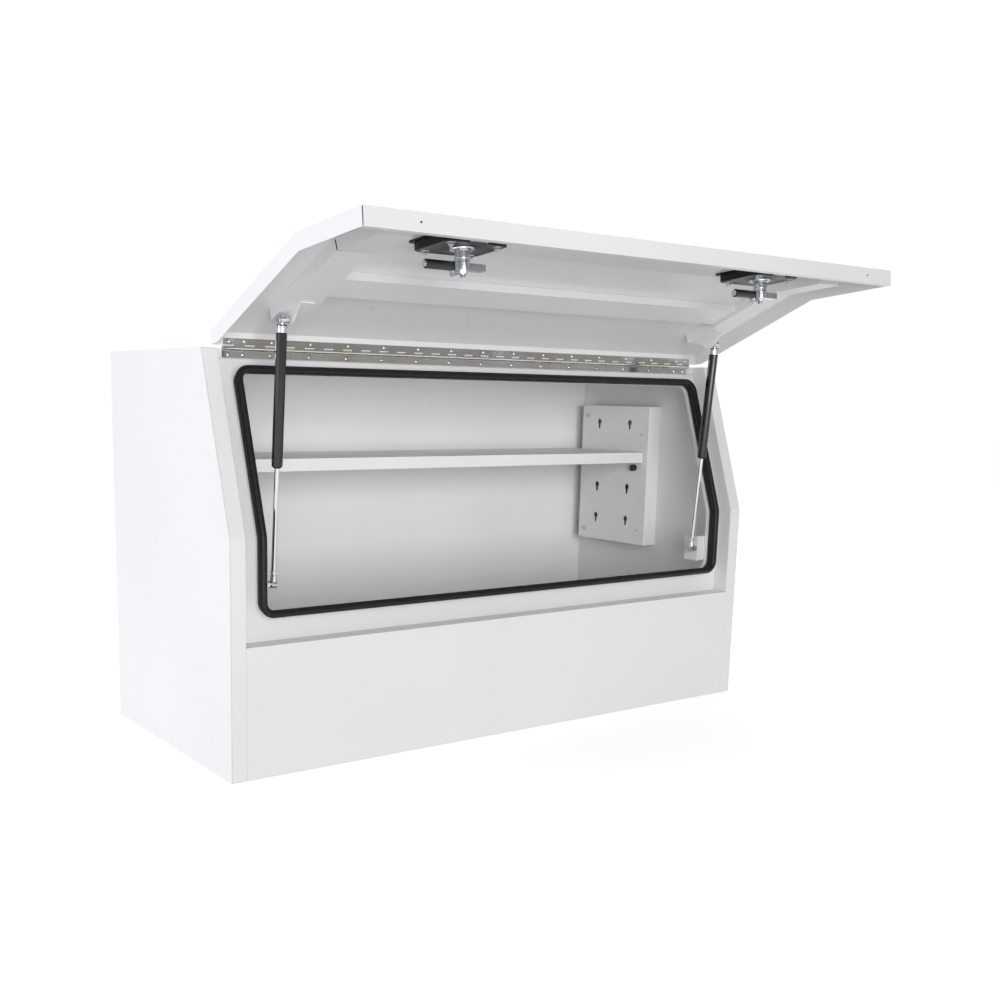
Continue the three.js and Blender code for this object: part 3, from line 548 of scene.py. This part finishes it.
HEX = [(6.5 / math.cos(math.pi / 6) * math.cos(math.pi / 3 * i), 6.5 / math.cos(math.pi / 6) * math.sin(math.pi / 3 * i)) for i in range(6)]
for tag, lx in (("left", -LATCH_X), ("right", LATCH_X)):
    # four clamp nuts on the gasket plate
    b = Build(latch_place(lx))
    for ux in (-42, 42):
        for uz in (-30, 36):
            m = basis((ux, 16.7, uz), (0, 1, 0))
            b.lathe([(0, 0.9), (6.2, 0.9), (6.6, 0.5), (6.6, 0.02), (0, 0.02)], 24, m)
            ring = [(a * 0.72, c * 0.72) for a, c in HEX]
            b.prism(ring, 0.9, 4.4, m)
            b.lathe([(0, 7.6), (1.9, 7.6), (2.4, 7.0), (2.4, 4.4), (0, 4.4)], 14, m)
    piece("latch_%s_clamp_nuts" % tag, b.v, b.f, ZINC, "door", 30, 0.25)
    # moulded cover over the back of the dish, with chamfered corners and a raised rim
    b = Build(latch_place(lx))
    outline = [(-58, -34), (-50, -42), (50, -42), (58, -34), (58, 40), (50, 48), (-50, 48), (-58, 40)]

    def ringed(k, r0=18.95, n=48):
        out, inn = [], []
        for i in range(n):
            a = 2 * math.pi * i / n
            ca, sa = math.cos(a), math.sin(a)
            t = min(abs((58 if abs(ca) > 1e-6 else 1e9) / ca) if abs(ca) > 1e-6 else 1e9,
                    abs(((48 if sa > 0 else 42)) / sa) if abs(sa) > 1e-6 else 1e9)
            x_, z_ = ca * t, sa * t
            # chamfer
            zc = 48 if z_ > 0 else 42
            over = (abs(x_) - 50) + (abs(z_) - (zc - 8)) - 8
            if abs(x_) > 50 and abs(z_) > zc - 8 and over > 0:
                f_ = 1 - over / (abs(ca) * t + abs(sa) * t)
                x_, z_ = x_ * f_, z_ * f_
            out.append((x_ * k, z_ * k))
            inn.append((r0 * ca, r0 * sa))
        return out, inn
    v, f = [], []
    n = 48
    loops = []
    for k, w in ((1.0, 4.4), (1.0, 15.6), (0.985, 16.5), (0.95, 16.9), (0.93, 16.6)):
        loops.append([(x_, w, z_) for x_, z_ in ringed(k)[0]])
    loops.append([(x_, 16.6, z_) for x_, z_ in ringed(1, 24)[1]])
    loops.append([(x_, 17.2, z_) for x_, z_ in ringed(1, 21.5)[1]])
    loops.append([(x_, 17.0, z_) for x_, z_ in ringed(1, 19.6)[1]])
    loops.append([(x_, 16.1, z_) for x_, z_ in ringed(1, 19.6)[1]])
    loops.append([(x_, 16.1, z_) for x_, z_ in ringed(0.965)[0]])
    loops.append([(x_, 4.4, z_) for x_, z_ in ringed(0.965)[0]])
    for lp in loops:
        v += lp
    m_ = len(loops)
    for a in range(m_):
        c = (a + 1) % m_
        for i in range(n):
            j = (i + 1) % n
            f.append((a * n + i, c * n + i, c * n + j, a * n + j))
    b.add(v, f)
    piece("latch_%s_back_cover" % tag, b.v, b.f, GASKET, "door", 30)
    # collar ring and circlip groove on the housing
    b = Build(latch_place(lx))
    m = basis((0, 0, 0), (0, 1, 0))
    b.lathe([(11.6, 30.0), (12.8, 30.2), (13.0, 31.0), (12.8, 31.8), (11.6, 32.0)], 32, m)
    b.lathe([(16.9, 16.6), (18.6, 16.7), (18.9, 17.3), (18.6, 18.4), (16.9, 18.5)], 32, m)
    piece("latch_%s_collar" % tag, b.v, b.f, CAST, "door", 40)
    # washer and thread on the spindle end
    b = Build(latch_place(lx))
    b.lathe([(4.2, 53.05), (6.6, 53.05), (6.6, 53.7), (4.2, 53.9)], 20, m)
    thread = [(3.4, 54.6)]
    for k in range(5):
        thread += [(3.95, 54.7 + k * 0.8), (3.3, 55.1 + k * 0.8)]
    thread += [(2.8, 58.9), (0, 58.9)]
    b.lathe([(0, 54.5)] + thread, 18, m)
    piece("latch_%s_spindle_end" % tag, b.v, b.f, ZINC, "latch_%s_turning" % tag, 40)
    # roller end caps
    b = Build(latch_place(lx))
    mx = basis((0, LW, 0), (-1, 0, 0))
    b.lathe([(3.6, 67.0), (6.3, 67.05), (6.6, 66.6)], 20, mx)
    piece("latch_%s_roller_cap" % tag, b.v, b.f, PLASTIC, "latch_%s_roller_body" % tag, 40)

# ------------------------------------------------------------------ gas strut trim: clip ring, fitting grooves, end crimp
STRUT_LOW = (-208.0, 317.0)
top = Vector(swing(bend(0, 31.0, 200.0)))
low = Vector((0, STRUT_LOW[0], STRUT_LOW[1]))
run = low - top
reach = run.length
for tag, sx in (("left", -STRUT_X), ("right", STRUT_X)):
    m = basis((sx, top.y, top.z), (0, run.y, run.z))
    b = Build()
    for d0 in (13.2, 17.6):
        b.lathe([(7.55, d0 - 0.9), (8.1, d0 - 0.6), (8.25, d0), (8.1, d0 + 0.6), (7.55, d0 + 0.9)], 28, m)
    piece("strut_fitting_rings_%s" % tag, b.v, b.f, ZINC, "strut_tube_%s_body" % tag, 40)
    b = Build()
    b.lathe([(6.0, 8.6), (7.9, 8.7), (8.4, 9.6), (7.9, 10.5), (6.0, 10.6)], 28, m)
    piece("strut_clip_%s" % tag, b.v, b.f, BLACKHW, "strut_tube_%s_body" % tag, 40)
    b = Build()
    b.lathe([(8.95, 222.0), (9.25, 222.4), (9.25, 225.0), (8.95, 225.4)], 32, m)
    b.lathe([(4.35, 234.02), (6.6, 234.02), (6.6, 235.0), (5.6, 235.8), (4.35, 235.8)], 28, m)
    piece("strut_tube_gland_%s" % tag, b.v, b.f, PLASTIC, "strut_tube_%s_body" % tag, 40)
    b = Build()
    e = reach - 15.0
    b.lathe([(4.05, e - 7.5), (5.4, e - 7.3), (5.4, e - 2.0), (4.05, e - 1.8)], 6, m)
    piece("strut_rod_nut_%s" % tag, b.v, b.f, ZINC, "strut_rod_%s_body" % tag, 20, 0.2)

# weld seams: painted shade in the mitre slit of each upright at the knee, and plug welds along the stiffeners
for tag, sg in (("left", -1), ("right", 1)):
    b = Build(lambda p, k=sg: swing(bend(p[0] * k, p[1], p[2])))
    # a V notch filled with painted shade, across the outer wall and a little way onto the face
    for x0, x1, w0, w1 in ((506.02, 506.35, 4.0, 21.0), (497.0, 506.3, 21.02, 21.3)):
        v = [(x, w, s) for s in (0.6, 3.0) for w in (w0, w1) for x in (x0, x1)]
        b.add(v, [(0, 2, 3, 1), (4, 5, 7, 6), (0, 1, 5, 4), (2, 6, 7, 3), (0, 4, 6, 2), (1, 3, 7, 5)])
    o = piece("door_brace_slit_%s" % tag, b.v, b.f, SHADE_FILL, "door", 30)
    b = Build()
    for s_ in (-96.0, -48.0, 40.0, 110.0, 140.0):
        c0 = swing(bend(sg * 478.0, 21.0, s_))
        c1 = swing(bend(sg * 478.0, 24.0, s_))
        mm = basis(c0, Vector(c1) - Vector(c0))
        b.lathe([(0, 0.25), (2.2, 0.3), (3.6, 0.18), (4.2, 0.02), (4.2, -0.2), (0, -0.2)], 18, mm)
    piece("door_brace_plug_welds_%s" % tag, b.v, [f[::-1] for f in b.f], WHITE, "door", 60)
b = Build()
for k in range(6):
    xx = -400.0 + 160.0 * k
    c0, c1 = swing(bend(xx, 16.0, 118.0)), swing(bend(xx, 19.0, 118.0))
    b.lathe([(0, 0.25), (2.2, 0.3), (3.6, 0.18), (4.2, 0.02), (4.2, -0.2), (0, -0.2)], 18, basis(c0, Vector(c1) - Vector(c0)))
piece("door_rail_plug_welds", b.v, [f[::-1] for f in b.f], WHITE, "door", 60)

# screws that hold the shelf brackets
def screws(name, spots, body, mat=ZINC, r=4.6):
    b = Build()
    for p, d in spots:
        m_ = basis(p, d)
        b.lathe([(r + 1.6, 0.02), (r + 1.5, 0.9), (r, 1.0), (r, 1.6), (r * 0.86, 2.7), (r * 0.55, 3.1), (r * 0.42, 3.1), (r * 0.36, 1.7), (0, 1.7)], 24, m_)
    piece(name, b.v, b.f, mat, body, 40)


for tag, sg in (("left", -1), ("right", 1)):
    screws("shelf_bracket_screws_%s" % tag, [((sg * (560.0 - 0.02), y_, z_), (-sg, 0, 0)) for y_, z_ in ((190.0, 320.0), (190.0, 590.0))], "box_body")

# ------------------------------------------------------------------ floor, light, camera
def floor():
    me = bpy.data.meshes.new("studio_floor")
    S = 30.0
    me.from_pydata([(-S, -S, -0.0005), (S, -S, -0.0005), (S, S, -0.0005), (-S, S, -0.0005)], [], [(0, 1, 2, 3)])
    o = bpy.data.objects.new("studio_floor", me)
    bpy.context.scene.collection.objects.link(o)
    m, t, b = material("studio_floor_white", (0.93, 0.93, 0.93), 0.85, spec=0.1)
    b.inputs["Emission Color"].default_value = (1, 1, 1, 1)
    b.inputs["Emission Strength"].default_value = 0.41
    v = coords(t)
    t.links.new(spread(t, noise(t, v, 3.0, 2), 0.82, 0.9), b.inputs["Roughness"])
    me.materials.append(m)
    o.visible_diffuse = False


floor()


def area(name, loc, target, size, power, colour=(1, 1, 1), size_y=None):
    l = bpy.data.lights.new(name, "AREA")
    l.energy = power
    l.color = colour
    l.shape = "RECTANGLE"
    l.size = size
    l.size_y = size_y or size
    o = bpy.data.objects.new(name, l)
    bpy.context.scene.collection.objects.link(o)
    o.location = loc
    o.rotation_euler = (Vector(target) - Vector(loc)).to_track_quat("-Z", "Y").to_euler()
    return o


def studio():
    """Soft white surround: brightest behind the object, dimmer behind the camera, so that metal and gloss have something to reflect."""
    world = bpy.data.worlds.new("studio")
    bpy.context.scene.world = world
    world.use_nodes = True
    t = world.node_tree
    bg = t.nodes["Background"]
    bg.inputs["Color"].default_value = (1.0, 1.0, 1.0, 1)
    c = t.nodes.new("ShaderNodeTexCoord")
    sep = t.nodes.new("ShaderNodeSeparateXYZ")
    t.links.new(c.outputs["Generated"], sep.inputs[0])

    def mapped(axis, a, b, lo, hi):
        r = t.nodes.new("ShaderNodeMapRange")
        r.interpolation_type = "SMOOTHSTEP"
        r.inputs["From Min"].default_value = a
        r.inputs["From Max"].default_value = b
        r.inputs["To Min"].default_value = lo
        r.inputs["To Max"].default_value = hi
        t.links.new(sep.outputs[axis], r.inputs["Value"])
        return r.outputs["Result"]
    above = mapped("Y", -0.15, 0.38, 0.34, 1.02)
    level = mapped("Z", -0.14, -0.02, 0.0, 1.0)
    mix = t.nodes.new("ShaderNodeMix")
    mix.data_type = "FLOAT"
    mix.inputs[2].default_value = 0.6
    t.links.new(level, mix.inputs[0])
    t.links.new(above, mix.inputs[3])
    t.links.new(mix.outputs[0], bg.inputs["Strength"])


def backdrop():
    """A plain white dome that only the camera sees, so that every view has the same ground."""
    import bmesh
    me = bpy.data.meshes.new("studio_backdrop")
    bm = bmesh.new()
    bmesh.ops.create_icosphere(bm, subdivisions=4, radius=24.0)
    bm.to_mesh(me)
    bm.free()
    me.shade_smooth()
    o = bpy.data.objects.new("studio_backdrop", me)
    bpy.context.scene.collection.objects.link(o)
    m = bpy.data.materials.new("studio_backdrop_white")
    m.use_nodes = True
    b = m.node_tree.nodes["Principled BSDF"]
    b.inputs["Base Color"].default_value = (0, 0, 0, 1)
    b.inputs["Specular IOR Level"].default_value = 0.0
    b.inputs["Emission Color"].default_value = (1, 1, 1, 1)
    b.inputs["Emission Strength"].default_value = 1.02
    me.materials.append(m)
    for flag in ("visible_diffuse", "visible_glossy", "visible_transmission", "visible_volume_scatter", "visible_shadow"):
        setattr(o, flag, False)


studio()
backdrop()
area("key_front", (-1.9, -4.6, 1.0), (0.0, 0.0, 0.42), 2.2, 138, (1.0, 0.995, 0.985))
inside = area("key_inside", (-1.0, -4.0, 0.85), (0.0, 0.2, 0.45), 1.6, 34, (1.0, 1.0, 0.995))
lit = bpy.data.collections.new("lit_by_key_inside")
for n_ in ("back_panel", "floor_panel", "shelf", "shelf_bracket_left", "shelf_bracket_right"):
    lit.objects.link(NODES[n_])
inside.light_linking.receiver_collection = lit
area("side_left", (-3.9, 0.5, 1.3), (-0.6, 0.1, 0.35), 2.2, 52, (0.90, 0.95, 1.0))
area("top_soft", (0.3, 0.4, 3.6), (0.0, 0.1, 0.4), 2.6, 14)

cam_data = bpy.data.cameras.new("camera")
cam = bpy.data.objects.new("camera", cam_data)
bpy.context.scene.collection.objects.link(cam)
bpy.context.scene.camera = cam
cam_data.sensor_width = 36.0
cam_data.sensor_fit = "HORIZONTAL"
cam_data.lens = 42.20
cam_data.shift_x = 0.08
cam_data.shift_y = 0.10
cam_data.clip_end = 100
R = ((0.82159, -0.56981, 0.01743), (-0.08363, -0.15073, -0.98503), (0.56391, 0.80784, -0.17149))
rot = Matrix((R[0], tuple(-k for k in R[1]), tuple(-k for k in R[2]))).transposed()
cam.matrix_world = Matrix.Translation((-1.3996, -1.9219, 0.6286)) @ rot.to_4x4()
cam_data.dof.use_dof = False

bpy.context.scene.view_settings.view_transform = "Standard"
bpy.context.scene.view_settings.look = "None"
